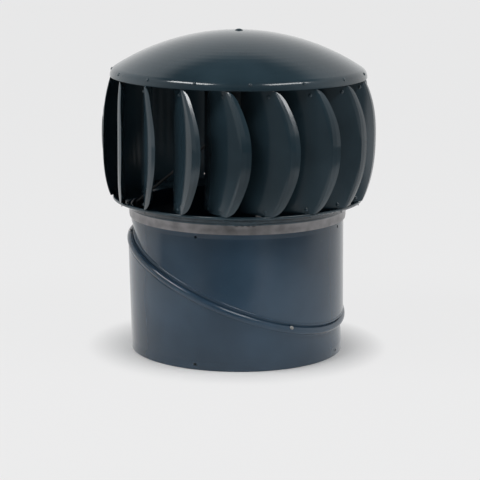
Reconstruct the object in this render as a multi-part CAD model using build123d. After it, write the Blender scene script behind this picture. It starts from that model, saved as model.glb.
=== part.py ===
from build123d import *
import os
from math import asin, cos, degrees, hypot, radians, sin

# Roof turbine ventilator, in millimetres and degrees. +Z is up and the origin is the centre of the
# duct end of the throat. Front is -Y. The lower half throat stands on the duct, the upper half throat
# turns on it about a slanted seam, and the turbine head spins on a fixed shaft about Z.

# Throat
THROAT_R = 150.0
SHEET = 0.9
THROAT_TOP_Z = 206.0
LOWER_STRAIGHT_Z = 12.0
UPPER_STRAIGHT_Z = 183.0
DUCT_SCREW_HOLE_R = 2.0
DUCT_SCREW_Z = 7.0
NECK_HOLE_Z = 184.0
WALL_HOLE_BEARING = -112.0
WALL_HOLES = 4

# Slanted swivel seam, a true circle in its own plane
SEAM_Z = 105.0
SEAM_TILT = 22.5
SEAM_BEARING = -22.0
LOWER_COLLAR_R = 161.5
LOWER_COLLAR_H = -8.0
OUTER_BEAD_R = 5.5
OUTER_BEAD_CENTRE_R = 160.1
BEAD_CENTRE_H = -0.5
FOLD_END_R = 159.5
UPPER_COLLAR_R = 158.8
UPPER_COLLAR_H = 11.0
INNER_BEAD_R = 4.0
RIDGE_H = 8.6
RIDGE_R = 1.5
LOCK_SCREWS = 3
LOCK_SCREW_BEARING = -59.5
LOCK_SCREW_RISE = 58.0
LOCK_SCREW_R = 1.5
LOCK_SCREW_TIP = 3.6

# Turbine head: barrel of vanes between the base ring and the dome
VANES = 18
VANE_SHEET = 0.8
VANE_BOTTOM_Z = 218.7
VANE_TOP_Z = 386.3
HEAD_R = 193.2
HEAD_MID_Z = 302.0
HEAD_HALF_HEIGHT = 84.0
HEAD_END_DROP = 14.3
HEAD_CURVE_POWER = 2.3
BLADE_R = 92.4
BLADE_CENTRE_R = 116.9
BLADE_CENTRE_BEARING = -67.25
BLADE_INNER_ANGLE = -166.0
LIP_WIDTH = 13.0
LIP_TAPER = 0.55
LIP_HEADINGS = (-10.0, -2.0)
LIP_END_GAP = 6.0
LIP_END_WIDTH = 1.0

# Dome
DOME_APEX_Z = 450.0
DOME_SPHERE_R = 320.0
DOME_SHOULDER_R = 14.0
DOME_RIM_R = 179.5
DOME_RIM_Z = 386.7
DOME_RIVETS = 15
DOME_RIVET_BEARING = -85.0
DOME_RIVET_RISE = 32.0
BOLT_R = 3.0
BOLT_HEAD_R = 6.0
BOLT_HEAD_HEIGHT = 2.2

# Rings that hold the vanes
TOP_RING_Z = 388.0
TOP_RING_INNER_R = 154.0
RING_TAB_GAP = 0.05
TOP_TAB_ANGLES = (-142.0, -131.8)
TOP_TAB_DEPTH = 15.0
FOOT_TAB_ANGLES = (-141.5, -133.5)
FOOT_TAB_TOP_Z = 229.0
TOP_RIVET = (-135.6, 378.0)
FOOT_RIVET = (-137.5, 224.0)
SKIRT_BOTTOM_Z = 193.6
SKIRT_BOTTOM_R = 157.2
SKIRT_WAIST = (155.0, 199.0)
SKIRT_TOP_R = 154.6
SKIRT_TOP_Z = 204.6
BASE_RIM_R = 176.2
BASE_RIM_Z = 216.3
BASE_RIM_ROLL_R = 2.1

# Rivets
RIVET_R = 1.6
RIVET_HEAD_R = 2.6
RIVET_HEAD_HEIGHT = 1.3
RIVET_TAIL_R = 2.3
RIVET_TAIL_HEIGHT = 1.2
RIVET_HOLE_R = 1.65

# Spider in the throat
SPIDER_ARMS = 3
SPIDER_BEARING = -75.0
SPIDER_STRAP = 2.5
SPIDER_STRAP_WIDTH = 22.0
SPIDER_FOOT_Z = 184.5
SPIDER_KNEE_Z = 201.0
SPIDER_TIP_R = 14.0
SPIDER_RIVET_R = 28.0
HUB_R = 40.0
HUB_Z = 294.0
HUB_THICKNESS = 5.0

# Shaft, bearings and housing
SHAFT_R = 6.0
SHAFT_SHOULDER_R = 8.0
SHAFT_COLLAR_R = 12.0
SHAFT_BOTTOM_Z = 279.0
SHAFT_TOP_Z = 421.0
LOWER_BEARING_Z = 330.0
UPPER_BEARING_Z = 408.0
BEARING_WIDTH = 8.0
BEARING_OUTER_R = 14.0
BALL_R = 2.38
BALL_CIRCLE_R = 10.1
BALLS = 8
INNER_RACE_R = 8.6
OUTER_RACE_R = 11.6
CAGE_RADII = (9.2, 11.0)
CAGE_HEIGHT = 6.4
FIT = 0.02
CLIP = 1.0
CLIP_GROOVE = 0.7
HOUSING_R = 18.0
HOUSING_FLANGE_R = 38.0
FLANGE = 5.0
HOUSING_BOTTOM_Z = 324.0
HOUSING_TOP_Z = 448.6
ROTOR_ARMS = 3
ROTOR_ARM_BEARING = 30.0
ROTOR_ARM_RIVET_RADII = (29.0, 161.0)
ROTOR_ARM_WIDTH = 24.0
ROTOR_ARM_SHEET = 1.6
ROTOR_ARM_DEPTH = 8.0


# ---- helpers ---------------------------------------------------------------------------------------


def polar(radius, angle):
    """Point in the XY plane at a radius and an angle from +X."""
    return (radius * cos(radians(angle)), radius * sin(radians(angle)))


def spun(*outline):
    """Body of revolution about Z from the edges of a closed outline in (radius, height)."""
    return revolve(Plane.XZ * make_face(outline), Axis.Z)


def spun_polygon(*corners):
    """Body of revolution about Z from the corners of a closed outline in (radius, height)."""
    return spun(Polyline(*corners, close=True))


def tube(outer_r, inner_r, bottom, top):
    """Plain tube about Z."""
    return spun_polygon((inner_r, bottom), (outer_r, bottom), (outer_r, top), (inner_r, top))


def rod(radius, bottom, top):
    """Plain rod about Z."""
    return Pos(0, 0, bottom) * extrude(Circle(radius), amount=top - bottom)


def around(shape, count, first_angle=0.0):
    """Copies of a shape about Z, evenly spaced, the first turned by first_angle."""
    return [Rot(0, 0, first_angle + i * 360.0 / count) * shape for i in range(count)]


def rivet(grip, hollow=0.0):
    """Set rivet along Z: head on z = 0, shank through the grip, tail under it clear of a hollow face."""
    under = -grip - hollow - FIT
    return spun(
        ThreePointArc(
            (0, FIT + RIVET_HEAD_HEIGHT),
            (RIVET_HEAD_R * 0.6, FIT + RIVET_HEAD_HEIGHT * 0.72),
            (RIVET_HEAD_R, FIT),
        ),
        Polyline(
            (RIVET_HEAD_R, FIT),
            (RIVET_R, FIT),
            (RIVET_R, under),
            (RIVET_TAIL_R, under),
            (RIVET_TAIL_R, under - RIVET_TAIL_HEIGHT),
            (0, under - RIVET_TAIL_HEIGHT),
            (0, FIT + RIVET_HEAD_HEIGHT),
        ),
    )


def group(solids):
    """Identical loose solids as one node."""
    return Compound(children=solids)


def save(shape, name):
    """Writes one node."""
    export_step(shape, "parts/" + name + ".step")


# ---- throat ----------------------------------------------------------------------------------------

seam_fall = Vector(*polar(1.0, SEAM_BEARING), 0.0)
seam_axis = Vector(0, 0, cos(radians(SEAM_TILT))) + seam_fall * sin(radians(SEAM_TILT))
seam_level = Vector(*polar(1.0, SEAM_BEARING + 90.0), 0.0)
seam_frame = Plane(origin=(0, 0, SEAM_Z), x_dir=seam_level, z_dir=seam_axis)


def throat_wall(level_z, seam_h, collar_r):
    """Ruled sheet wall from the round duct circle at level_z to a round collar parallel to the seam."""
    level_plane = Plane(origin=(0, 0, level_z), x_dir=seam_level, z_dir=(0, 0, 1))
    seam_plane = Plane(origin=Vector(0, 0, SEAM_Z) + seam_axis * seam_h, x_dir=seam_level, z_dir=seam_axis)
    skins = []
    for inset in (0.0, SHEET):
        ends = [level_plane * Circle(THROAT_R - inset), seam_plane * Circle(collar_r - inset)]
        if level_z > SEAM_Z:
            ends.reverse()
        skins.append(loft(ends, ruled=True))
    return skins[0] - skins[1]


def wall_drills(z):
    """Radial drills for the small holes round a throat wall."""
    drill = Pos(THROAT_R, 0, z) * Rot(0, 90, 0) * Cylinder(DUCT_SCREW_HOLE_R, 8 * SHEET)
    return around(drill, WALL_HOLES, WALL_HOLE_BEARING)


def outer_bead():
    """Rolled edge of the lower half, folded over the rolled edge of the upper half."""
    inner_r = OUTER_BEAD_R - SHEET
    collar_in = LOWER_COLLAR_R - SHEET
    low_out = BEAD_CENTRE_H - (OUTER_BEAD_R**2 - (LOWER_COLLAR_R - OUTER_BEAD_CENTRE_R) ** 2) ** 0.5
    low_in = BEAD_CENTRE_H - (inner_r**2 - (collar_in - OUTER_BEAD_CENTRE_R) ** 2) ** 0.5
    top_out = (OUTER_BEAD_CENTRE_R, BEAD_CENTRE_H + OUTER_BEAD_R)
    top_in = (OUTER_BEAD_CENTRE_R, BEAD_CENTRE_H + inner_r)
    side_out = (OUTER_BEAD_CENTRE_R + OUTER_BEAD_R, BEAD_CENTRE_H)
    side_in = (OUTER_BEAD_CENTRE_R + inner_r, BEAD_CENTRE_H)
    return spun(
        Line((collar_in, LOWER_COLLAR_H), (LOWER_COLLAR_R, LOWER_COLLAR_H)),
        Line((LOWER_COLLAR_R, LOWER_COLLAR_H), (LOWER_COLLAR_R, low_out)),
        ThreePointArc((LOWER_COLLAR_R, low_out), side_out, top_out),
        Polyline(top_out, (FOLD_END_R, top_out[1]), (FOLD_END_R, top_in[1]), top_in),
        ThreePointArc(top_in, side_in, (collar_in, low_in)),
        Line((collar_in, low_in), (collar_in, LOWER_COLLAR_H)),
    )


def inner_bead():
    """Rolled edge of the upper half, with the stiffening ridge above it."""
    collar_in = UPPER_COLLAR_R - SHEET
    inner_r = INNER_BEAD_R - SHEET
    top = BEAD_CENTRE_H + INNER_BEAD_R
    bottom = BEAD_CENTRE_H - INNER_BEAD_R
    ridge_out = UPPER_COLLAR_R + RIDGE_R * 0.9
    return spun(
        Line((collar_in, UPPER_COLLAR_H), (UPPER_COLLAR_R, UPPER_COLLAR_H)),
        Line((UPPER_COLLAR_R, UPPER_COLLAR_H), (UPPER_COLLAR_R, RIDGE_H + RIDGE_R)),
        ThreePointArc(
            (UPPER_COLLAR_R, RIDGE_H + RIDGE_R), (ridge_out, RIDGE_H), (UPPER_COLLAR_R, RIDGE_H - RIDGE_R)
        ),
        Line((UPPER_COLLAR_R, RIDGE_H - RIDGE_R), (UPPER_COLLAR_R, top)),
        ThreePointArc(
            (UPPER_COLLAR_R, top), (UPPER_COLLAR_R + INNER_BEAD_R, BEAD_CENTRE_H), (UPPER_COLLAR_R, bottom)
        ),
        Line((UPPER_COLLAR_R, bottom), (UPPER_COLLAR_R, bottom + SHEET)),
        ThreePointArc(
            (UPPER_COLLAR_R, bottom + SHEET),
            (UPPER_COLLAR_R + inner_r, BEAD_CENTRE_H),
            (UPPER_COLLAR_R, top - SHEET),
        ),
        Line((UPPER_COLLAR_R, top - SHEET), (collar_in, top - SHEET)),
        Line((collar_in, top - SHEET), (collar_in, UPPER_COLLAR_H)),
    )


def lock_screw_seat():
    """Middle of the outer bead where the lock screws point, with Z along the screws."""
    place = Pos(OUTER_BEAD_CENTRE_R, 0, BEAD_CENTRE_H)
    return place * Rot(0, 90.0 - LOCK_SCREW_RISE, 0)


def round_the_seam(shape):
    """Copies of a shape round the seam's own axis, one for each lock screw."""
    turned = around(shape, LOCK_SCREWS, LOCK_SCREW_BEARING - SEAM_BEARING - 90.0)
    return [seam_frame.location * one for one in turned]


def seam_lock_screws():
    """Pan-head screws through the outer bead that press on the bead inside it when tightened."""
    seat = OUTER_BEAD_R + FIT
    screw = spun(
        ThreePointArc((0, seat + 1.6), (2.1, seat + 1.2), (3.0, seat)),
        Polyline(
            (3.0, seat),
            (LOCK_SCREW_R, seat),
            (LOCK_SCREW_R, LOCK_SCREW_TIP + 0.4),
            (LOCK_SCREW_R - 0.4, LOCK_SCREW_TIP),
            (0, LOCK_SCREW_TIP),
            (0, seat + 1.6),
        ),
    )
    return group(round_the_seam(lock_screw_seat() * screw))


def lower_throat():
    """Half throat that fits on the duct, with the screw holes at its foot."""
    body = tube(THROAT_R, THROAT_R - SHEET, 0.0, LOWER_STRAIGHT_Z)
    body += throat_wall(LOWER_STRAIGHT_Z, LOWER_COLLAR_H, LOWER_COLLAR_R)
    body += seam_frame.location * outer_bead()
    screw_drill = lock_screw_seat() * Pos(0, 0, OUTER_BEAD_R) * Cylinder(LOCK_SCREW_R + FIT, 3 * SHEET)
    return body - wall_drills(DUCT_SCREW_Z) - round_the_seam(screw_drill)


def spider_foot_drill():
    """Radial drill for the rivet through the throat wall and a spider foot."""
    height = (SPIDER_FOOT_Z + SPIDER_KNEE_Z) / 2
    return Pos(THROAT_R, 0, height) * Rot(0, 90, 0) * Cylinder(RIVET_HOLE_R, 20)


def upper_throat():
    """Half throat that carries the spider and turns on the seam."""
    body = tube(THROAT_R, THROAT_R - SHEET, UPPER_STRAIGHT_Z, THROAT_TOP_Z)
    body += throat_wall(UPPER_STRAIGHT_Z, UPPER_COLLAR_H, UPPER_COLLAR_R)
    body += seam_frame.location * inner_bead()
    body -= around(spider_foot_drill(), SPIDER_ARMS, SPIDER_BEARING)
    return body - wall_drills(NECK_HOLE_Z)


# ---- turbine head ----------------------------------------------------------------------------------


def head_radius(z):
    """Radius of the barrel that the outer edges of the vanes lie on."""
    return HEAD_R - HEAD_END_DROP * abs((z - HEAD_MID_Z) / HEAD_HALF_HEIGHT) ** HEAD_CURVE_POWER


def blade_centre():
    """Centre of the arc that a blade follows in plan."""
    return Vector(*polar(BLADE_CENTRE_R, BLADE_CENTRE_BEARING))


def blade_point(angle, inset=0.0):
    """Point on a blade's arc in plan, inset from its outer face."""
    return blade_centre() + Vector(*polar(BLADE_R - inset, angle))


def blade_spot(spot):
    """Place on a blade's outer face at an angle on its arc and a height, with Z out of the face."""
    angle, height = spot
    point = blade_point(angle)
    return Pos(point.X, point.Y, height) * Rot(0, 0, angle) * Rot(0, 90, 0)


def lip_steps(z, crease):
    """The two flat strips of the lip, as vectors in plan. The lip fades out at both ends of the vane."""
    share = (z - HEAD_MID_Z) / HEAD_HALF_HEIGHT
    width = LIP_WIDTH * (1.0 - LIP_TAPER * share**2)
    headings = LIP_HEADINGS
    if z in (VANE_BOTTOM_Z, VANE_TOP_Z):
        width = LIP_END_WIDTH
        headings = (crease + 91.0, crease + 92.0)
    return [Vector(*polar(width / 2.0, heading)) for heading in headings]


def crease_angle(z):
    """Angle on the blade's arc where the lip starts, so that the lip's edge lies on the barrel."""
    low, high = -140.0, -100.0
    for _ in range(40):
        middle = (low + high) / 2.0
        first, second = lip_steps(z, middle)
        if (blade_point(middle) + first + second).length < head_radius(z):
            low = middle
        else:
            high = middle
    return middle


def vane_section(z):
    """Closed outline of a vane at height z: curved blade and two-strip lip."""
    crease = crease_angle(z)
    half_way = (BLADE_INNER_ANGLE + crease) / 2.0
    first, second = lip_steps(z, crease)
    outer = [blade_point(crease)]
    outer.append(outer[0] + first)
    outer.append(outer[1] + second)
    normals = [blade_point(crease, 1.0) - blade_point(crease)]
    for step in (first, second):
        normals.append(Vector(-step.Y, step.X).normalized())
    inner = []
    for i, point in enumerate(outer):
        mitre = (normals[i] + normals[min(i + 1, 2)]).normalized()
        inner.append(point + mitre * (VANE_SHEET / mitre.dot(normals[i])))
    start_out = blade_point(BLADE_INNER_ANGLE)
    start_in = blade_point(BLADE_INNER_ANGLE, VANE_SHEET)
    edges = [
        ThreePointArc(start_out, blade_point(half_way), outer[0]),
        Line(outer[0], outer[1]),
        Line(outer[1], outer[2]),
        Line(outer[2], inner[2]),
        Line(inner[2], inner[1]),
        Line(inner[1], inner[0]),
        ThreePointArc(inner[0], blade_point(half_way, VANE_SHEET), start_in),
        Line(start_in, start_out),
    ]
    return Pos(0, 0, z) * make_face(edges)


def vane():
    """One vane, lofted through level sections so that its lip follows the barrel."""
    low, high = VANE_BOTTOM_Z, VANE_TOP_Z
    span = high - low
    heights = [low, low + LIP_END_GAP]
    heights += [low + span * share for share in (0.18, 0.34, 0.5, 0.66, 0.82)]
    heights += [high - LIP_END_GAP, high]
    blade = loft([vane_section(z) for z in heights])
    drill = Cylinder(RIVET_HOLE_R, 12 * VANE_SHEET)
    return blade - blade_spot(TOP_RIVET) * drill - blade_spot(FOOT_RIVET) * drill


def tab(angles, bottom, top):
    """Upright tab against the inner face of a blade."""
    first, last = angles
    middle = (first + last) / 2.0
    near = VANE_SHEET + RING_TAB_GAP
    far = near + SHEET
    outline = [
        ThreePointArc(blade_point(first, near), blade_point(middle, near), blade_point(last, near)),
        Line(blade_point(last, near), blade_point(last, far)),
        ThreePointArc(blade_point(last, far), blade_point(middle, far), blade_point(first, far)),
        Line(blade_point(first, far), blade_point(first, near)),
    ]
    return Pos(0, 0, bottom) * extrude(make_face(outline), amount=top - bottom)


def vane_rivets(spot):
    """Rivets that hold one end of every vane to its tabs."""
    one = blade_spot(spot) * rivet(VANE_SHEET + RING_TAB_GAP + SHEET, hollow=0.05)
    return group(around(one, VANES))


# The dome's shoulder is an arc between the crown and the upright rim
shoulder_r = DOME_RIM_R - DOME_SHOULDER_R
crown_z = DOME_APEX_Z - DOME_SPHERE_R
shoulder_lean = asin(shoulder_r / (DOME_SPHERE_R - DOME_SHOULDER_R))
shoulder_z = crown_z + (DOME_SPHERE_R - DOME_SHOULDER_R) * cos(shoulder_lean)


def on_shoulder(shape):
    """Moves a shape made at the origin, Z out, on to the dome's shoulder where the rivets are."""
    rise = radians(DOME_RIVET_RISE)
    radius = shoulder_r + DOME_SHOULDER_R * cos(rise)
    height = shoulder_z + DOME_SHOULDER_R * sin(rise)
    placed = Pos(radius, 0, height) * Rot(0, 90.0 - DOME_RIVET_RISE, 0) * shape
    return around(placed, DOME_RIVETS, DOME_RIVET_BEARING)


def dome_rivets():
    """Rivets round the dome's shoulder, through the edge of the top ring."""
    return group(on_shoulder(rivet(2 * SHEET + RING_TAB_GAP, hollow=0.24)))


def dome():
    """Spun dome: spherical crown with a bolt hole, shoulder radius and a short upright rim."""
    meet = shoulder_lean
    hole_r = BOLT_R + 0.2

    def skin(inset):
        sphere_r = DOME_SPHERE_R - inset
        bend_r = DOME_SHOULDER_R - inset
        hole = (hole_r, crown_z + (sphere_r**2 - hole_r**2) ** 0.5)
        crown = (sphere_r * sin(meet / 2), crown_z + sphere_r * cos(meet / 2))
        join = (sphere_r * sin(meet), crown_z + sphere_r * cos(meet))
        tilt = radians(45.0) + meet / 2
        bend = (shoulder_r + bend_r * sin(tilt), shoulder_z + bend_r * cos(tilt))
        side = (shoulder_r + bend_r, shoulder_z)
        return hole, crown, join, bend, side

    hole, crown, join, bend, side = skin(0.0)
    hole_in, crown_in, join_in, bend_in, side_in = skin(SHEET)
    rim = (side[0], DOME_RIM_Z)
    rim_in = (side_in[0], DOME_RIM_Z)
    shell = spun(
        ThreePointArc(hole, crown, join),
        ThreePointArc(join, bend, side),
        Polyline(side, rim, rim_in, side_in),
        ThreePointArc(side_in, bend_in, join_in),
        ThreePointArc(join_in, crown_in, hole_in),
        Line(hole_in, hole),
    )
    drill = Rot(0, 0, 90) * Cylinder(RIVET_HOLE_R, 4 * SHEET)
    return shell - on_shoulder(drill)


def top_ring():
    """Flat ring under the dome, with an edge that follows the dome's shoulder and a tab for each vane."""
    outer_r = DOME_SHOULDER_R - SHEET - RING_TAB_GAP
    inner_r = outer_r - SHEET

    def on_arc(radius, height):
        return shoulder_r + (radius**2 - (height - shoulder_z) ** 2) ** 0.5

    low = TOP_RING_Z - SHEET
    crest = shoulder_z + outer_r * 0.72
    middle = (low + crest) / 2.0
    body = spun(
        Line((TOP_RING_INNER_R, low), (on_arc(outer_r, low), low)),
        ThreePointArc(
            (on_arc(outer_r, low), low), (on_arc(outer_r, middle), middle), (on_arc(outer_r, crest), crest)
        ),
        Line((on_arc(outer_r, crest), crest), (on_arc(inner_r, crest), crest)),
        ThreePointArc(
            (on_arc(inner_r, crest), crest),
            (on_arc(inner_r, middle), middle),
            (on_arc(inner_r, TOP_RING_Z), TOP_RING_Z),
        ),
        Line((on_arc(inner_r, TOP_RING_Z), TOP_RING_Z), (TOP_RING_INNER_R, TOP_RING_Z)),
        Line((TOP_RING_INNER_R, TOP_RING_Z), (TOP_RING_INNER_R, low)),
    )
    plain_tab = tab(TOP_TAB_ANGLES, low - TOP_TAB_DEPTH, low + SHEET / 2)
    plain_tab = plain_tab & rod(on_arc(outer_r, low) - 0.2, low - 2 * TOP_TAB_DEPTH, TOP_RING_Z)
    plain_tab -= blade_spot(TOP_RIVET) * Cylinder(RIVET_HOLE_R, 12 * VANE_SHEET)
    body += around(plain_tab, VANES)
    body -= on_shoulder(Cylinder(RIVET_HOLE_R, 8 * SHEET))
    arm_drill = Pos(ROTOR_ARM_RIVET_RADII[1], 0, TOP_RING_Z) * Cylinder(RIVET_HOLE_R, 8 * SHEET)
    return body - around(arm_drill, ROTOR_ARMS, ROTOR_ARM_BEARING)


def base_ring():
    """Ring under the vanes: skirt over the throat, sloping dish, rolled rim and a tab for each vane."""
    roll_r = BASE_RIM_R - BASE_RIM_ROLL_R
    dish_out = (roll_r, BASE_RIM_Z - BASE_RIM_ROLL_R / 2)
    knee_z = SKIRT_TOP_Z + 0.3
    waist_in = (SKIRT_WAIST[0] - SHEET, SKIRT_WAIST[1] + SHEET / 4)
    body = spun(
        ThreePointArc((SKIRT_BOTTOM_R, SKIRT_BOTTOM_Z), SKIRT_WAIST, (SKIRT_TOP_R, SKIRT_TOP_Z)),
        Polyline(
            (SKIRT_TOP_R, SKIRT_TOP_Z),
            (SKIRT_TOP_R + 2.0, knee_z),
            (dish_out[0], dish_out[1] - SHEET / 2),
            (dish_out[0], dish_out[1] + SHEET / 2),
            (SKIRT_TOP_R + 1.5, knee_z + SHEET),
            (SKIRT_TOP_R - SHEET, SKIRT_TOP_Z + 0.6),
        ),
        ThreePointArc(
            (SKIRT_TOP_R - SHEET, SKIRT_TOP_Z + 0.6), waist_in, (SKIRT_BOTTOM_R - SHEET, SKIRT_BOTTOM_Z)
        ),
        Line((SKIRT_BOTTOM_R - SHEET, SKIRT_BOTTOM_Z), (SKIRT_BOTTOM_R, SKIRT_BOTTOM_Z)),
    )
    body += revolve(Plane.XZ * Pos(roll_r, BASE_RIM_Z) * Circle(BASE_RIM_ROLL_R), Axis.Z)
    middle = (FOOT_TAB_ANGLES[0] + FOOT_TAB_ANGLES[1]) / 2.0
    foot_r = blade_point(middle, VANE_SHEET).length
    slope = (dish_out[1] - knee_z) / (dish_out[0] - SKIRT_TOP_R - 2.0)
    foot_z = knee_z + slope * (foot_r - SKIRT_TOP_R - 2.0) - 1.0
    foot_tab = tab(FOOT_TAB_ANGLES, foot_z, FOOT_TAB_TOP_Z)
    foot_tab -= blade_spot(FOOT_RIVET) * Cylinder(RIVET_HOLE_R, 12 * VANE_SHEET)
    under = spun_polygon(
        (SKIRT_TOP_R + 2.0, knee_z + SHEET / 2),
        (dish_out[0], dish_out[1]),
        (dish_out[0], foot_z - 10.0),
        (SKIRT_TOP_R + 2.0, foot_z - 10.0),
    )
    return body + around(foot_tab - under, VANES)


# ---- spider and shaft ------------------------------------------------------------------------------


def strap_path():
    """Corners of a spider strap's middle line in (radius, height): foot, knee, hub end, tip."""
    foot_r = THROAT_R - SHEET - SPIDER_STRAP / 2 - FIT
    landing_z = HUB_Z - SPIDER_STRAP / 2
    return [(foot_r, SPIDER_FOOT_Z), (foot_r, SPIDER_KNEE_Z), (HUB_R - 1.0, landing_z), (SPIDER_TIP_R, landing_z)]


def hub_drill():
    """Upright drill for the rivet through the hub plate and a spider strap."""
    return Pos(SPIDER_RIVET_R, 0, HUB_Z) * Cylinder(RIVET_HOLE_R, 20)


def spider_rivets():
    """Rivets of the spider: one through the throat wall and one through the hub for each strap."""
    foot = Pos(THROAT_R, 0, (SPIDER_FOOT_Z + SPIDER_KNEE_Z) / 2) * Rot(0, 90, 0)
    foot_rivet = foot * rivet(SHEET + FIT + SPIDER_STRAP)
    deck = Pos(SPIDER_RIVET_R, 0, HUB_Z + HUB_THICKNESS)
    hub_rivet = deck * rivet(HUB_THICKNESS + SPIDER_STRAP)
    pair = around(foot_rivet, SPIDER_ARMS, SPIDER_BEARING)
    return group(pair + around(hub_rivet, SPIDER_ARMS, SPIDER_BEARING))


def spider_arm():
    """Strap bent from sheet bar: foot on the throat wall, rise to the hub, landing under the hub plate."""
    foot, knee, bend, tip = strap_path()
    half = SPIDER_STRAP / 2
    rise = degrees(asin((bend[1] - knee[1]) / hypot(bend[0] - knee[0], bend[1] - knee[1])))
    knee_shift = half * (1.0 - sin(radians(rise))) / cos(radians(rise))
    bend_shift = half * (1.0 - cos(radians(rise))) / sin(radians(rise))
    outline = Polyline(
        (foot[0] + half, foot[1]),
        (knee[0] + half, knee[1] + knee_shift),
        (bend[0] + bend_shift, bend[1] + half),
        (tip[0], tip[1] + half),
        (tip[0], tip[1] - half),
        (bend[0] - bend_shift, bend[1] - half),
        (knee[0] - half, knee[1] - knee_shift),
        (foot[0] - half, foot[1]),
        close=True,
    )
    strap = extrude(Plane.XZ * make_face(outline), amount=SPIDER_STRAP_WIDTH / 2, both=True)
    wall = rod(THROAT_R - SHEET - FIT, SPIDER_FOOT_Z - 5.0, HUB_Z + 5.0)
    strap = strap & wall
    return strap - spider_foot_drill() - hub_drill()


def spider_hub():
    """Plate that the shaft stands on."""
    plate = rod(HUB_R, HUB_Z, HUB_Z + HUB_THICKNESS) - rod(SHAFT_R + 0.1, HUB_Z - 1, HUB_Z + 20)
    return plate - around(hub_drill(), SPIDER_ARMS, SPIDER_BEARING)


def rotor_shaft():
    """Stepped shaft: thread end, collar on the hub, shoulder under the lower bearing, clip groove."""
    deck = HUB_Z + HUB_THICKNESS
    clip_z = UPPER_BEARING_Z + BEARING_WIDTH + FIT
    return spun_polygon(
        (0, SHAFT_BOTTOM_Z),
        (SHAFT_R, SHAFT_BOTTOM_Z),
        (SHAFT_R, deck),
        (SHAFT_COLLAR_R, deck),
        (SHAFT_COLLAR_R, deck + 5.0),
        (SHAFT_SHOULDER_R, deck + 5.0),
        (SHAFT_SHOULDER_R, LOWER_BEARING_Z),
        (SHAFT_R, LOWER_BEARING_Z),
        (SHAFT_R, clip_z),
        (SHAFT_R - CLIP_GROOVE, clip_z),
        (SHAFT_R - CLIP_GROOVE, clip_z + CLIP + 2 * FIT),
        (SHAFT_R, clip_z + CLIP + 2 * FIT),
        (SHAFT_R, SHAFT_TOP_Z - 1.0),
        (SHAFT_R - 1.0, SHAFT_TOP_Z),
        (0, SHAFT_TOP_Z),
    )


def hex_nut(across_flats, bore_r, bottom, height):
    """Plain hexagon nut."""
    blank = extrude(RegularPolygon(across_flats / 2, 6, major_radius=False), amount=height)
    return Pos(0, 0, bottom) * (blank - Cylinder(bore_r, 3 * height))


def ball_track(bottom):
    """Ring that clears the balls of a bearing."""
    level = bottom + BEARING_WIDTH / 2
    return revolve(Plane.XZ * Pos(BALL_CIRCLE_R, level) * Circle(BALL_R + 0.06), Axis.Z)


def inner_race(bottom):
    return tube(INNER_RACE_R, SHAFT_R + FIT, bottom, bottom + BEARING_WIDTH) - ball_track(bottom)


def outer_race(bottom):
    return tube(BEARING_OUTER_R - FIT, OUTER_RACE_R, bottom, bottom + BEARING_WIDTH) - ball_track(bottom)


def ball(bottom):
    return Pos(BALL_CIRCLE_R, 0, bottom + BEARING_WIDTH / 2) * Sphere(BALL_R)


def ball_cage(bottom):
    """Ring with a window for each ball, which keeps the balls apart."""
    middle = bottom + BEARING_WIDTH / 2
    ring = tube(CAGE_RADII[1], CAGE_RADII[0], middle - CAGE_HEIGHT / 2, middle + CAGE_HEIGHT / 2)
    window = Pos(BALL_CIRCLE_R, 0, middle) * Rot(0, 90, 0) * Cylinder(BALL_R + 0.06, BALL_R * 2)
    return ring - around(window, BALLS)


def circlip(groove_r, rim_r, bottom):
    """Spring ring in a groove of radius groove_r, standing out to rim_r, with a gap and two eyes."""
    inner_r, outer_r = sorted((groove_r, rim_r))
    eye_r = (inner_r + outer_r) / 2
    ring = tube(outer_r, inner_r, bottom, bottom + CLIP)
    ring -= Pos(eye_r, 0, bottom) * Box(2 * (outer_r - inner_r), 4.0, 4 * CLIP)
    turn = degrees(asin(3.2 / eye_r))
    for angle in (-turn, turn):
        eye = Pos(*polar(eye_r, angle), bottom + CLIP / 2)
        ring = ring - eye * Cylinder(0.5, 2 * CLIP)
    return ring


def housing_clip_z():
    """Underside of the spring ring that holds the lower bearing in the housing."""
    return LOWER_BEARING_Z - 2 * FIT - CLIP


def bearing_housing():
    """Turned housing: seats for both bearings, flange for the rotor arms, boss under the dome."""
    lower_top = LOWER_BEARING_Z + BEARING_WIDTH
    seat = BEARING_OUTER_R
    blank = spun_polygon(
        (0, HOUSING_BOTTOM_Z),
        (HOUSING_R, HOUSING_BOTTOM_Z),
        (HOUSING_R, TOP_RING_Z - FLANGE),
        (HOUSING_FLANGE_R, TOP_RING_Z - FLANGE),
        (HOUSING_FLANGE_R, TOP_RING_Z),
        (HOUSING_R, TOP_RING_Z),
        (HOUSING_R, UPPER_BEARING_Z + 22.0),
        (10.0, UPPER_BEARING_Z + 28.0),
        (10.0, HOUSING_TOP_Z),
        (0, HOUSING_TOP_Z),
    )
    blank -= around(Pos(ROTOR_ARM_RIVET_RADII[0], 0, TOP_RING_Z) * Cylinder(RIVET_HOLE_R, 20), 3, ROTOR_ARM_BEARING)
    blank -= rod(seat, HOUSING_BOTTOM_Z - 1, lower_top)
    blank -= rod(seat - 1.6, lower_top - 1, UPPER_BEARING_Z + 1)
    blank -= rod(seat, UPPER_BEARING_Z, UPPER_BEARING_Z + 18.0)
    blank -= rod(seat + CLIP_GROOVE, housing_clip_z() - FIT, housing_clip_z() + CLIP + FIT)
    return blank - rod(BOLT_R + FIT, HOUSING_TOP_Z - 12.0, HOUSING_TOP_Z + 1)


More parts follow.
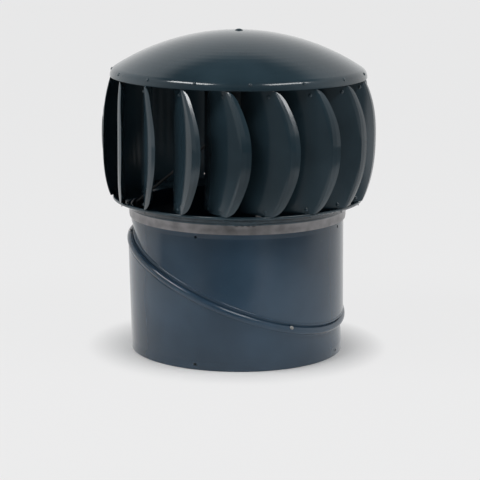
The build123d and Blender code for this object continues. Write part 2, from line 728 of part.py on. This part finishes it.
def rotor_arm():
    """Channel from the housing flange to the top ring."""
    start, end = HOUSING_R + 1.0, TOP_RING_INNER_R + 13.0
    length = end - start
    outer = Box(length, ROTOR_ARM_WIDTH, ROTOR_ARM_DEPTH, align=(Align.MIN, Align.CENTER, Align.MIN))
    inner = Box(
        length + 2,
        ROTOR_ARM_WIDTH - 2 * ROTOR_ARM_SHEET,
        ROTOR_ARM_DEPTH,
        align=(Align.MIN, Align.CENTER, Align.MIN),
    )
    arm = Pos(start, 0, TOP_RING_Z) * (outer - Pos(-1, 0, ROTOR_ARM_SHEET) * inner)
    for radius in ROTOR_ARM_RIVET_RADII:
        arm -= Pos(radius, 0, TOP_RING_Z) * Cylinder(RIVET_HOLE_R, 4 * ROTOR_ARM_SHEET)
    return arm


def rotor_arm_rivets():
    """Rivets of the rotor arms: one through the housing flange and one through the top ring for each."""
    top = TOP_RING_Z + ROTOR_ARM_SHEET
    inner = Pos(ROTOR_ARM_RIVET_RADII[0], 0, top) * rivet(ROTOR_ARM_SHEET + FLANGE)
    outer = Pos(ROTOR_ARM_RIVET_RADII[1], 0, top) * rivet(ROTOR_ARM_SHEET + SHEET)
    pair = around(inner, ROTOR_ARMS, ROTOR_ARM_BEARING)
    return group(pair + around(outer, ROTOR_ARMS, ROTOR_ARM_BEARING))


def apex_bolt():
    """Round-head bolt through the crown of the dome into the housing."""
    head_z = DOME_APEX_Z + FIT
    top = head_z + BOLT_HEAD_HEIGHT
    head = spun(
        ThreePointArc((0, top), (BOLT_HEAD_R * 0.6, head_z + BOLT_HEAD_HEIGHT * 0.68), (BOLT_HEAD_R, head_z)),
        Polyline((BOLT_HEAD_R, head_z), (0, head_z), (0, top)),
    )
    return head + rod(BOLT_R, HOUSING_TOP_Z - 11.0, head_z + BOLT_HEAD_HEIGHT / 4)


os.makedirs("parts", exist_ok=True)

save(lower_throat(), "lower_throat")
save(seam_lock_screws(), "seam_lock_screws")
save(upper_throat(), "upper_throat")
one_vane = vane()
for number, turned in enumerate(around(one_vane, VANES), start=1):
    save(turned, f"vane_{number:02d}")
save(vane_rivets(TOP_RIVET), "vane_top_rivets")
save(vane_rivets(FOOT_RIVET), "vane_foot_rivets")
save(dome(), "dome")
save(dome_rivets(), "dome_rivets")
save(top_ring(), "top_ring")
save(base_ring(), "base_ring")
for number, turned in enumerate(around(spider_arm(), SPIDER_ARMS, SPIDER_BEARING), start=1):
    save(turned, f"spider_arm_{number}")
save(spider_hub(), "spider_hub")
save(spider_rivets(), "spider_rivets")
save(rotor_shaft(), "rotor_shaft")
save(hex_nut(18.0, SHAFT_R + FIT, HUB_Z - 11.5, 10.0), "shaft_nut")
save(tube(11.5, SHAFT_R + 0.1, HUB_Z - 1.5, HUB_Z - 0.02), "shaft_washer")
for name, bottom in (("lower", LOWER_BEARING_Z), ("upper", UPPER_BEARING_Z)):
    save(inner_race(bottom), name + "_bearing_inner_race")
    save(outer_race(bottom), name + "_bearing_outer_race")
    save(group(around(ball(bottom), BALLS)), name + "_bearing_balls")
    save(ball_cage(bottom), name + "_bearing_cage")
spacer_bottom = LOWER_BEARING_Z + BEARING_WIDTH + FIT
save(tube(INNER_RACE_R, SHAFT_R + FIT, spacer_bottom, UPPER_BEARING_Z - FIT), "bearing_spacer")
save(circlip(SHAFT_R - CLIP_GROOVE + FIT, 8.4, UPPER_BEARING_Z + BEARING_WIDTH + 2 * FIT), "shaft_circlip")
save(circlip(BEARING_OUTER_R + CLIP_GROOVE - FIT, 11.8, housing_clip_z()), "housing_circlip")
save(bearing_housing(), "bearing_housing")
for number, turned in enumerate(around(rotor_arm(), ROTOR_ARMS, ROTOR_ARM_BEARING), start=1):
    save(turned, f"rotor_arm_{number}")
save(rotor_arm_rivets(), "rotor_arm_rivets")
save(apex_bolt(), "apex_bolt")
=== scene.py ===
import math

import bpy
from mathutils import Matrix, Vector


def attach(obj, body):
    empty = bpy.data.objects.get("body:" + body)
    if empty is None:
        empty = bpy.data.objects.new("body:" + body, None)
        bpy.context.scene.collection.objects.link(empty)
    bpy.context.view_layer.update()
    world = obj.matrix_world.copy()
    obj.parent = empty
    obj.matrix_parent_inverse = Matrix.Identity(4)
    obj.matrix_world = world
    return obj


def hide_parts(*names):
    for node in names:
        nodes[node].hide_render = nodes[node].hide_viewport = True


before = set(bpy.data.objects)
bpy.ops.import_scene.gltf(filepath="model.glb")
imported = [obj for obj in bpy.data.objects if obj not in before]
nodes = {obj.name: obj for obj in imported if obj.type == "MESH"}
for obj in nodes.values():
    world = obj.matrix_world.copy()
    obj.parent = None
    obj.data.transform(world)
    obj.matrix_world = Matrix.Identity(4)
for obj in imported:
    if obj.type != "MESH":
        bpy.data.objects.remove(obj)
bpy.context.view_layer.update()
bpy.ops.object.select_all(action="DESELECT")

# ---- Lower throat --------------------------------------------------------------------------------
# The half throat that stands on the duct: 0.9 mm sheet steel rolled to 300 mm, its upper edge
# turned out and rolled over the other half. Sprayed with a gloss slate blue-grey enamel, as all the
# painted sheet is. On both throat halves its colour is tinted bluer: painted light, for the bluish
# light that falls on them from below and in front.


def noise(tree, coords, scale, detail, roughness=0.5):
    """A noise pattern on the given coordinates."""
    node = tree.nodes.new("ShaderNodeTexNoise")
    node.inputs["Scale"].default_value = scale
    node.inputs["Detail"].default_value = detail
    node.inputs["Roughness"].default_value = roughness
    tree.links.new(coords, node.inputs["Vector"])
    return node.outputs["Fac"]


def ramp(tree, value, low, high, to_low=0.0, to_high=1.0):
    """A value stretched from one range to another and held at its ends."""
    node = tree.nodes.new("ShaderNodeMapRange")
    node.inputs["From Min"].default_value = low
    node.inputs["From Max"].default_value = high
    node.inputs["To Min"].default_value = to_low
    node.inputs["To Max"].default_value = to_high
    tree.links.new(value, node.inputs["Value"])
    return node.outputs["Result"]


def blend_colours(tree, share, first, second):
    """A colour between two, each given as a colour or as the output of another node."""
    node = tree.nodes.new("ShaderNodeMix")
    node.data_type = "RGBA"
    tree.links.new(share, node.inputs["Factor"])
    for socket, colour in ((node.inputs["A"], first), (node.inputs["B"], second)):
        if isinstance(colour, bpy.types.NodeSocket):
            tree.links.new(colour, socket)
        else:
            socket.default_value = (*colour, 1.0)
    return node.outputs["Result"]


def combine(tree, operation, first, second=0.0):
    """Two values put together by a math operation, or one value that it works on alone."""
    node = tree.nodes.new("ShaderNodeMath")
    node.operation = operation
    for socket, value in zip(node.inputs, (first, second)):
        if isinstance(value, bpy.types.NodeSocket):
            tree.links.new(value, socket)
        else:
            socket.default_value = value
    return node.outputs["Value"]


def relief(tree, height, distance, under=None):
    """A bump from a height pattern, on top of another bump if one is given."""
    node = tree.nodes.new("ShaderNodeBump")
    node.inputs["Strength"].default_value = 1.0
    node.inputs["Distance"].default_value = distance
    tree.links.new(height, node.inputs["Height"])
    if under is not None:
        tree.links.new(under, node.inputs["Normal"])
    return node.outputs["Normal"]


def new_finish(name):
    """A fresh material, its node tree, its shader and the object coordinates."""
    finish = bpy.data.materials.new(name)
    finish.use_nodes = True
    tree = finish.node_tree
    shader = tree.nodes["Principled BSDF"]
    coords = tree.nodes.new("ShaderNodeTexCoord").outputs["Object"]
    return finish, tree, shader, coords


def enamel(name, colour, gloss=0.16, wave_depth=0.00006):
    """Gloss enamel on sheet steel: faint cloudiness, dust, orange peel, slow waves of the sheet."""
    cloud_scale, dust_scale, wave_scale, peel_scale = 9.0, 420.0, 14.0, 900.0
    peel_depth = 0.000006
    dust_colour, dust_share = (0.22, 0.24, 0.26), 0.18
    glossier, duller = gloss - 0.03, gloss + 0.05
    pale = tuple(min(1.0, channel * 1.22 + 0.002) for channel in colour)
    deep = tuple(channel * 0.84 for channel in colour)

    finish, tree, shader, coords = new_finish(name)
    cloud = noise(tree, coords, cloud_scale, 3.0)
    dust = noise(tree, coords, dust_scale, 2.0, 0.7)
    paint = blend_colours(tree, ramp(tree, cloud, 0.35, 0.65), deep, pale)
    dusty = blend_colours(tree, ramp(tree, dust, 0.70, 0.78, 0.0, dust_share), paint, dust_colour)
    tree.links.new(dusty, shader.inputs["Base Color"])
    tree.links.new(ramp(tree, cloud, 0.3, 0.7, glossier, duller), shader.inputs["Roughness"])
    waves = relief(tree, noise(tree, coords, wave_scale, 1.0), wave_depth)
    peel = relief(tree, noise(tree, coords, peel_scale, 2.0), peel_depth, waves)
    tree.links.new(peel, shader.inputs["Normal"])
    shader.inputs["IOR"].default_value = 1.5
    return finish


def wear(piece, finish):
    """Puts a finish on a piece in place of what it had."""
    piece.data.materials.clear()
    piece.data.materials.append(finish)


# Bluer than SLATE, the same enamel on the rest: painted light, for the bluish light on the throat.
THROAT_SLATE_PAINTED_BLUE_LIGHT = (0.018, 0.037, 0.060)
throat_enamel_painted_blue_light = enamel("throat_enamel_painted_blue_light", THROAT_SLATE_PAINTED_BLUE_LIGHT)
wear(nodes["lower_throat"], throat_enamel_painted_blue_light)

# ---- Upper throat --------------------------------------------------------------------------------
# The half throat that carries the spider: the same sheet and enamel, its lower edge rolled to a
# small bead that turns inside the bead of the lower half, with a stiffening ridge pressed in above.

wear(nodes["upper_throat"], throat_enamel_painted_blue_light)

# ---- Vanes ---------------------------------------------------------------------------------------
# Eighteen curved blades of 0.8 mm sheet steel, each with a formed lip along its outer edge, rolled
# a little at its ends. Sprayed after pressing, and held at top and foot by rivets through the tabs.


def reach_of(tree, coords):
    """How far a point is from the upright axis, and its places east, north and up."""
    place = tree.nodes.new("ShaderNodeSeparateXYZ")
    tree.links.new(coords, place.inputs["Vector"])
    east, north, height = place.outputs
    squares = combine(tree, "ADD",
                      combine(tree, "MULTIPLY", east, east),
                      combine(tree, "MULTIPLY", north, north))
    return combine(tree, "SQRT", squares), east, north, height


def sheet_waves(tree):
    """The bump for the slow waves of the sheet, which the enamel's other bumps lie on."""
    return next(node for node in tree.nodes if node.bl_idname == "ShaderNodeBump")


def roll_the_lips(finish):
    """Turns the shading up at the top of each lip and down at its foot, as the edge is rolled."""
    widest_reach, widest_height, bow = 0.1932, 0.300, 1.85
    lip_inside, lip_outside = 0.004, 0.001
    top_lean, top_ease, foot_lean = 0.5, 0.2, 0.36

    tree = finish.node_tree
    reach, _, _, height = reach_of(tree, tree.nodes.new("ShaderNodeTexCoord").outputs["Object"])
    off_widest = combine(tree, "SUBTRACT", height, widest_height)
    drawn_in = combine(tree, "MULTIPLY", combine(tree, "MULTIPLY", off_widest, off_widest), bow)
    from_edge = combine(tree, "SUBTRACT", combine(tree, "SUBTRACT", widest_reach, drawn_in), reach)
    on_lip = ramp(tree, from_edge, lip_inside, lip_outside)
    top = combine(tree, "SUBTRACT",
                  ramp(tree, height, 0.304, 0.330, 0.0, top_lean),
                  ramp(tree, height, 0.335, 0.385, 0.0, top_ease))
    foot = ramp(tree, height, 0.290, 0.236, 0.0, foot_lean)
    lean = combine(tree, "MULTIPLY", combine(tree, "SUBTRACT", top, foot), on_lip)

    rise = tree.nodes.new("ShaderNodeCombineXYZ")
    tree.links.new(lean, rise.inputs["Z"])
    upright = tree.nodes.new("ShaderNodeVectorTransform")
    upright.vector_type = "VECTOR"
    upright.convert_from, upright.convert_to = "OBJECT", "WORLD"
    tree.links.new(rise.outputs["Vector"], upright.inputs["Vector"])
    leaned = tree.nodes.new("ShaderNodeVectorMath")
    leaned.operation = "ADD"
    surface = tree.nodes.new("ShaderNodeNewGeometry")
    tree.links.new(surface.outputs["Normal"], leaned.inputs[0])
    tree.links.new(upright.outputs["Vector"], leaned.inputs[1])
    tree.links.new(leaned.outputs["Vector"], sheet_waves(tree).inputs["Normal"])


SLATE = (0.021, 0.040, 0.053)
VANE_COUNT = 18
vane_enamel = enamel("vane_enamel", SLATE, gloss=0.15)
roll_the_lips(vane_enamel)
for number in range(1, VANE_COUNT + 1):
    wear(nodes[f"vane_{number:02d}"], vane_enamel)
for name in ("vane_top_rivets", "vane_foot_rivets"):
    wear(nodes[name], vane_enamel)

# ---- Dome ----------------------------------------------------------------------------------------
# The cap over the vanes, spun from one disc of sheet steel, so faint rings from the spinning
# roller show in the enamel. Its short upright rim closes over the top ring, and blind rivets hold
# it there.


def spinning_rings(finish, spacing, depth):
    """Fine rings round the axis, as a roller leaves them, under the enamel's own bumps."""
    tree = finish.node_tree
    reach = reach_of(tree, tree.nodes.new("ShaderNodeTexCoord").outputs["Object"])[0]
    rings = combine(tree, "SINE", combine(tree, "MULTIPLY", reach, 2.0 * math.pi / spacing))
    tree.links.new(relief(tree, rings, depth), sheet_waves(tree).inputs["Normal"])


dome_enamel = enamel("dome_enamel", SLATE, gloss=0.14, wave_depth=0.00004)
spinning_rings(dome_enamel, spacing=0.009, depth=0.000012)
for name in ("dome", "apex_bolt", "dome_rivets"):
    wear(nodes[name], dome_enamel)

# ---- Top ring and base ring ----------------------------------------------------------------------
# Pressed rings that hold the vanes at both ends by their tabs. The base ring has a sloping dish, a
# rolled rim and a skirt that keeps the rain out. The skirt narrows to the throat and is left as
# bare zinc.

wear(nodes["top_ring"], enamel("ring_enamel", SLATE, gloss=0.18))


def bare_zinc_band(finish, top, dull, bright):
    """Leaves the band below a height as dull zinc, with the enamel above it."""
    paint_edge = 0.0002
    dish_reach, skirt_reach = 0.148, 0.149
    zinc_roughness, zinc_metallic = 0.34, 0.95

    tree = finish.node_tree
    shader = tree.nodes["Principled BSDF"]
    coords = tree.nodes.new("ShaderNodeTexCoord").outputs["Object"]
    reach, _, _, height = reach_of(tree, coords)
    band = combine(tree, "MULTIPLY",
                   ramp(tree, height, top + paint_edge, top - paint_edge),
                   ramp(tree, reach, dish_reach, skirt_reach))
    stain = ramp(tree, noise(tree, coords, 55.0, 4.0), 0.35, 0.65)
    zinc = blend_colours(tree, stain, dull, bright)
    paint = shader.inputs["Base Color"].links[0].from_socket
    tree.links.new(blend_colours(tree, band, paint, zinc), shader.inputs["Base Color"])
    gloss = shader.inputs["Roughness"].links[0].from_socket
    rough = tree.nodes.new("ShaderNodeMix")
    rough.inputs["B"].default_value = zinc_roughness
    tree.links.new(band, rough.inputs["Factor"])
    tree.links.new(gloss, rough.inputs["A"])
    tree.links.new(rough.outputs["Result"], shader.inputs["Roughness"])
    tree.links.new(combine(tree, "MULTIPLY", band, zinc_metallic), shader.inputs["Metallic"])


DULL_ZINC, BRIGHT_ZINC = (0.15, 0.148, 0.152), (0.24, 0.235, 0.24)
base_ring_finish = enamel("base_ring_enamel", SLATE, gloss=0.18)
bare_zinc_band(base_ring_finish, 0.2030, DULL_ZINC, BRIGHT_ZINC)

# The skirt narrows in steps: at each height, all that hangs below it draws in and drops a little.
SKIRT_STEPS = (0.2032, 0.2012, 0.1992, 0.1972, 0.1952, 0.1938)
SKIRT_REACH = 0.145
STEP_NARROWING, STEP_DROP = 0.9948, 0.00062
ring_mesh = nodes["base_ring"].data.copy()
base_ring_skirted = bpy.data.objects.new("base_ring_skirted", ring_mesh)
bpy.context.scene.collection.objects.link(base_ring_skirted)
base_ring_skirted.select_set(True)
bpy.context.view_layer.objects.active = base_ring_skirted
bpy.ops.object.mode_set(mode="EDIT")
bpy.ops.mesh.select_all(action="SELECT")
bpy.ops.mesh.remove_doubles(threshold=0.000002)
bpy.ops.mesh.select_mode(type="VERT")
bpy.ops.object.mode_set(mode="OBJECT")
heights = [vertex.co.z for vertex in ring_mesh.vertices]
for step in SKIRT_STEPS:
    bpy.ops.object.mode_set(mode="EDIT")
    bpy.ops.mesh.select_all(action="DESELECT")
    bpy.ops.object.mode_set(mode="OBJECT")
    for vertex, height in zip(ring_mesh.vertices, heights):
        vertex.select = height < step and vertex.co.xy.length > SKIRT_REACH
    bpy.ops.object.mode_set(mode="EDIT")
    bpy.ops.transform.resize(value=(STEP_NARROWING, STEP_NARROWING, 1.0),
                             center_override=(0.0, 0.0, step))
    bpy.ops.transform.translate(value=(0.0, 0.0, -STEP_DROP))
    bpy.ops.object.mode_set(mode="OBJECT")
bpy.ops.object.shade_smooth_by_angle(angle=math.radians(28.0))
wear(base_ring_skirted, base_ring_finish)
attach(base_ring_skirted, "rotor")
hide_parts("base_ring")
bpy.ops.object.select_all(action="DESELECT")

# ---- Spider, shaft and bearings ------------------------------------------------------------------
# Galvanised straps from the throat wall to a hub plate, and a stepped steel shaft on it that
# carries two ball bearings. Nothing here is painted. The zinc's colour is kept dark as painted
# shade, for the deep shade inside the rotor where the straps stand.


def plain_metal(name, colour, roughness, scratch_depth=0.00001):
    """Bare metal with faint scratches and stains."""
    stain_scale, scratch_scale = 35.0, 600.0
    stained = tuple(channel * 0.7 for channel in colour)

    finish, tree, shader, coords = new_finish(name)
    stain = noise(tree, coords, stain_scale, 4.0)
    tree.links.new(blend_colours(tree, ramp(tree, stain, 0.3, 0.7), stained, colour),
                   shader.inputs["Base Color"])
    tree.links.new(ramp(tree, stain, 0.3, 0.7, roughness, roughness + 0.15),
                   shader.inputs["Roughness"])
    scratches = relief(tree, noise(tree, coords, scratch_scale, 3.0), scratch_depth)
    tree.links.new(scratches, shader.inputs["Normal"])
    shader.inputs["Metallic"].default_value = 1.0
    return finish


# This zinc is far darker than bright zinc: painted shade, for the dark inside of the rotor.
galvanised_in_painted_shade = plain_metal("galvanised_steel", (0.20, 0.205, 0.21), 0.42, 0.00002)
ground_steel = plain_metal("ground_steel", (0.46, 0.46, 0.47), 0.18)
turned_aluminium = plain_metal("turned_aluminium", (0.40, 0.41, 0.42), 0.32)
zinc_screws = plain_metal("zinc_plated_screws", (0.42, 0.42, 0.41), 0.28)
spring_steel = plain_metal("spring_steel", (0.07, 0.07, 0.075), 0.30)
pressed_brass = plain_metal("pressed_brass", (0.42, 0.31, 0.13), 0.30)

# How the names of the pieces in each metal start, with the first match taken.
METALS = (
    (("spider_rivets", "rotor_arm_rivets", "seam_lock_screws"), zinc_screws),
    (("shaft_circlip", "housing_circlip"), spring_steel),
    (("lower_bearing_cage", "upper_bearing_cage"), pressed_brass),
    (("spider", "rotor_arm"), galvanised_in_painted_shade),
    (("bearing_housing",), turned_aluminium),
    (("rotor_shaft", "shaft", "lower_bearing", "upper_bearing", "bearing_spacer"), ground_steel),
)
for name, node in nodes.items():
    metal = next((finish for starts, finish in METALS if name.startswith(starts)), None)
    if metal is not None:
        wear(node, metal)

# ---- Floor, light and camera ---------------------------------------------------------------------
# A pale floor and pale walls as in a product studio, with a strip light high on each side and a
# weak low fill under each. The floor shows its own pale colour and keeps the object's shadow.

PALE_GREY = (0.845, 0.845, 0.848)
WHITE, BLACK = (1.0, 1.0, 1.0), (0.0, 0.0, 0.0)

bpy.ops.mesh.primitive_plane_add(size=60.0, location=(0.0, 0.0, -0.0005))
floor = bpy.context.object
floor.name = "studio_floor"
floor_finish, floor_tree, floor_shader, floor_coords = new_finish("studio_floor")
floor_shader.inputs["Base Color"].default_value = (0.82, 0.82, 0.82, 1.0)
floor_shader.inputs["Roughness"].default_value = 0.9
floor_reach, floor_east, floor_north, _ = reach_of(floor_tree, floor_coords)
floor_rays = floor_tree.nodes.new("ShaderNodeLightPath")

# What of the floor glows: nearly all of it away from the shadow, and none under the throat.
outside_throat = ramp(floor_tree, floor_reach, 0.149, 0.151)
away = ramp(floor_tree, floor_reach, 0.152, 0.215, 0.05, 0.93)
seen_share = combine(floor_tree, "MULTIPLY", floor_rays.outputs["Is Camera Ray"], away)
mirrored_share = combine(floor_tree, "MULTIPLY", floor_rays.outputs["Is Glossy Ray"], 0.95)
glow_share = combine(floor_tree, "MULTIPLY",
                     combine(floor_tree, "MAXIMUM", seen_share, mirrored_share), outside_throat)

# How bright the enamel mirrors it: weaker in front, and fading out beyond a table's reach.
FRONT_SHINE, SIDE_SHINE, BACK_SHINE = 0.45, 0.9, 0.9
in_front = ramp(floor_tree, floor_north, 0.1, -0.4)
to_side = ramp(floor_tree, combine(floor_tree, "ABSOLUTE", floor_east), 0.1, 0.5)
table_shine = combine(floor_tree, "MULTIPLY",
                      ramp(floor_tree, to_side, 0.0, 1.0, FRONT_SHINE, SIDE_SHINE),
                      ramp(floor_tree, floor_reach, 0.8, 1.4, 1.0, 0.15))
shine = floor_tree.nodes.new("ShaderNodeMix")
shine.inputs["B"].default_value = BACK_SHINE
floor_tree.links.new(combine(floor_tree, "SUBTRACT", 1.0, in_front), shine.inputs["Factor"])
floor_tree.links.new(table_shine, shine.inputs["A"])
mirrored_tone = blend_colours(floor_tree, shine.outputs["Result"], BLACK, WHITE)
floor_tone = blend_colours(floor_tree, floor_rays.outputs["Is Camera Ray"],
                           mirrored_tone, PALE_GREY)
floor_glow = floor_tree.nodes.new("ShaderNodeEmission")
floor_tree.links.new(floor_tone, floor_glow.inputs["Color"])
floor_mix = floor_tree.nodes.new("ShaderNodeMixShader")
floor_tree.links.new(glow_share, floor_mix.inputs["Fac"])
floor_tree.links.new(floor_shader.outputs["BSDF"], floor_mix.inputs[1])
floor_tree.links.new(floor_glow.outputs["Emission"], floor_mix.inputs[2])
floor_tree.links.new(floor_mix.outputs["Shader"],
                     floor_tree.nodes["Material Output"].inputs["Surface"])
floor.data.materials.append(floor_finish)

# The walls are pale at the back and dark at the front and overhead, where the strips hang.
DARK_ROOM = (0.01, 0.01, 0.01)
studio = bpy.data.worlds.new("studio")
bpy.context.scene.world = studio
studio.use_nodes = True
room = studio.node_tree
backdrop = room.nodes["Background"]
backdrop.inputs["Strength"].default_value = 1.0
directions = room.nodes.new("ShaderNodeSeparateXYZ")
room.links.new(room.nodes.new("ShaderNodeTexCoord").outputs["Generated"],
               directions.inputs["Vector"])
behind = ramp(room, directions.outputs["Y"], -0.95, 0.15, 0.0, 0.95)
dimmer_above = ramp(room, directions.outputs["Z"], 0.20, 0.72, 1.0, 0.62)
under_ceiling = ramp(room, directions.outputs["Z"], 0.72, 0.81, 1.0, 0.02)
pale_wall = combine(room, "MULTIPLY",
                    combine(room, "MULTIPLY", behind, under_ceiling), dimmer_above)
walls = blend_colours(room, pale_wall, DARK_ROOM, WHITE)
seen = room.nodes.new("ShaderNodeLightPath").outputs["Is Camera Ray"]
room.links.new(blend_colours(room, seen, walls, PALE_GREY), backdrop.inputs["Color"])


def soft_box(name, place, target, width, tall, power):
    """A rectangular soft light at a place, turned to a target."""
    lamp = bpy.data.lights.new(name, "AREA")
    lamp.shape = "RECTANGLE"
    lamp.size = width
    lamp.size_y = tall
    lamp.energy = power
    holder = bpy.data.objects.new(name, lamp)
    bpy.context.scene.collection.objects.link(holder)
    holder.rotation_euler = (Vector(target) - Vector(place)).to_track_quat("-Z", "Y").to_euler()
    holder.location = place
    return holder


for side, hand, strip_power in (("left", -1.0, 20.0), ("right", 1.0, 14.0)):
    soft_box(f"{side}_strip", (hand * 1.02, -0.68, 1.95), (0.0, 0.0, 0.25),
             width=1.20, tall=0.36, power=strip_power)
    fill = soft_box(f"{side}_fill", (hand * 0.60, -0.95, 0.10), (0.0, 0.0, 0.07),
                    width=0.5, tall=0.12, power=0.12)
    fill.data.spread = math.radians(24.0)
    fill.visible_glossy = False
    fill.visible_camera = False

CAMERA_PLACE = (0.0, -2.6286, 0.6914)
LENS_LENGTH, SENSOR_WIDTH = 141.62, 36.0
PITCH, YAW, ROLL = math.radians(11.592), math.radians(0.086), math.radians(0.4843)
forward = Vector((math.sin(YAW) * math.cos(PITCH), math.cos(YAW) * math.cos(PITCH),
                  -math.sin(PITCH)))
level = Vector((math.cos(YAW), -math.sin(YAW), 0.0))
upright = level.cross(forward)
across = math.cos(ROLL) * level + math.sin(ROLL) * upright
upward = math.cos(ROLL) * upright - math.sin(ROLL) * level
lens = bpy.data.cameras.new("camera")
lens.sensor_width = SENSOR_WIDTH
lens.lens = LENS_LENGTH
camera = bpy.data.objects.new("camera", lens)
bpy.context.scene.collection.objects.link(camera)
turn = Matrix((across, upward, -forward)).transposed().to_4x4()
camera.matrix_world = Matrix.Translation(CAMERA_PLACE) @ turn
bpy.context.scene.camera = camera
bpy.context.scene.view_settings.view_transform = "Standard"
